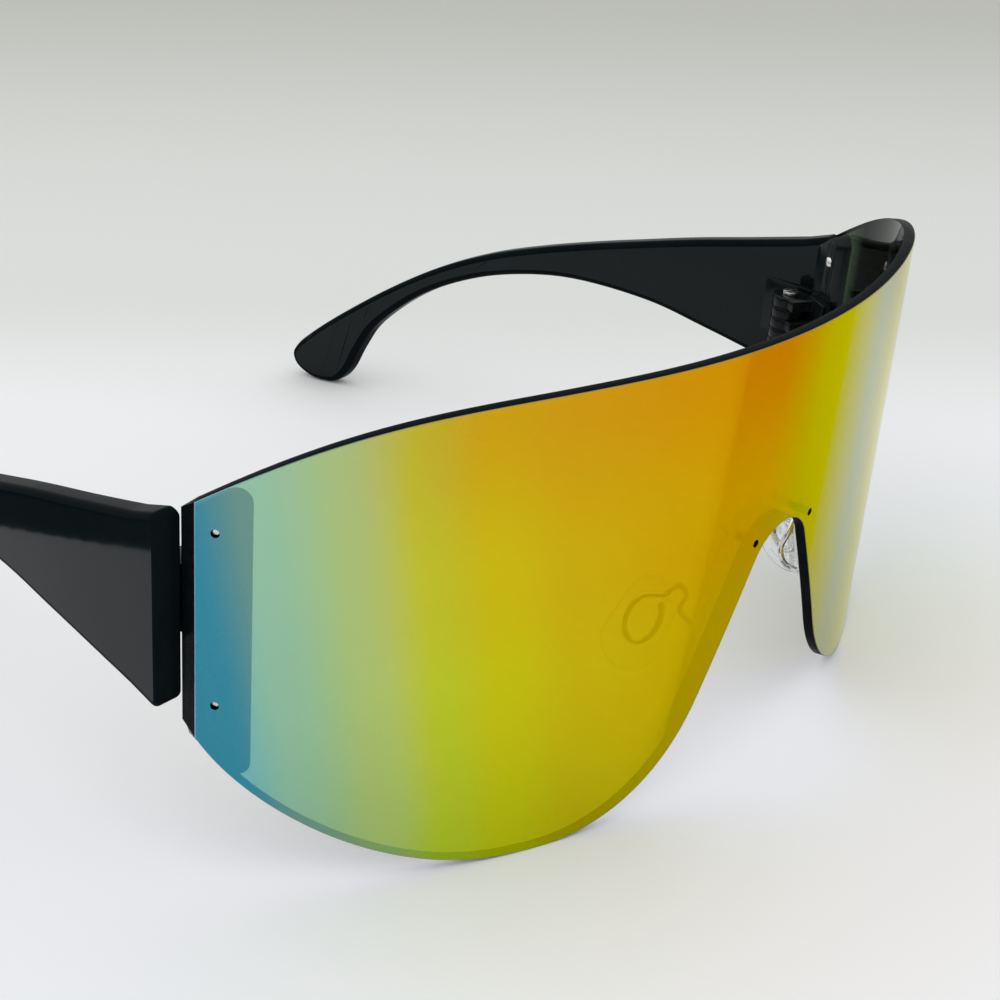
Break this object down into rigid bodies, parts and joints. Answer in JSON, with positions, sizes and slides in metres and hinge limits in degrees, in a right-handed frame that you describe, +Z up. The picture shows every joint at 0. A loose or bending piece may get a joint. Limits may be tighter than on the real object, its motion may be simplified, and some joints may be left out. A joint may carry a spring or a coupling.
{
  "type": "shield sunglasses",
  "caption": "One-piece mirrored wrap shield sunglasses with wide black folding temples and a wire nosepiece with clear pads, standing open.",
  "frame": {"origin": "middle of the bottom of the bounding box: on the table, halfway between the lens and the temple tips", "axes": "+X to the wearer's left, -Y the way the lens faces, +Y towards the temple tips, +Z up from the table. The glasses stand open on the lens's two lobes and the two temple tips, so the lens leans 4 degrees."},
  "size_m": [0.1498, 0.1566, 0.0643],
  "materials": {
    "mirror_lens": "yellow to orange mirror coating over a dark tinted sheet, gloss, slightly see-through",
    "clear_silicone": "clear soft silicone",
    "silver_metal": "bright nickel silver",
    "black_metal": "black lacquered metal",
    "black_acetate": "polished black acetate"
  },
  "bodies": {
    "front": {"lens_shield": "mirror_lens", "end_plate_left": "black_metal", "end_plate_right": "black_metal", "lens_pin_upper_left": "silver_metal", "lens_pin_lower_left": "silver_metal", "lens_pin_upper_right": "silver_metal", "lens_pin_lower_right": "silver_metal", "hinge_front_leaf_left": "black_metal", "hinge_front_leaf_right": "black_metal", "hinge_screw_left": "silver_metal", "hinge_screw_right": "silver_metal", "nose_band": "silver_metal", "band_pin_left": "silver_metal", "band_pin_right": "silver_metal", "pad_arm_left": "silver_metal", "pad_arm_right": "silver_metal", "nose_pad_left": "clear_silicone", "nose_pad_right": "clear_silicone"},
    "temple_left": {"temple_left": "black_acetate", "hinge_rear_leaf_left": "black_metal"},
    "temple_right": {"temple_right": "black_acetate", "hinge_rear_leaf_right": "black_metal"}
  },
  "joints": [
    {"name": "temple_left_fold", "type": "hinge", "parent": "front", "child": "temple_left", "pos_m": [0.066, -0.03484, 0.03738], "axis": [0, -0.0698, 0.9976], "range_deg": [0, 85]},
    {"name": "temple_right_fold", "type": "hinge", "parent": "front", "child": "temple_right", "pos_m": [-0.066, -0.03484, 0.03738], "axis": [0, 0.0698, -0.9976], "range_deg": [0, 90]}
  ]
}
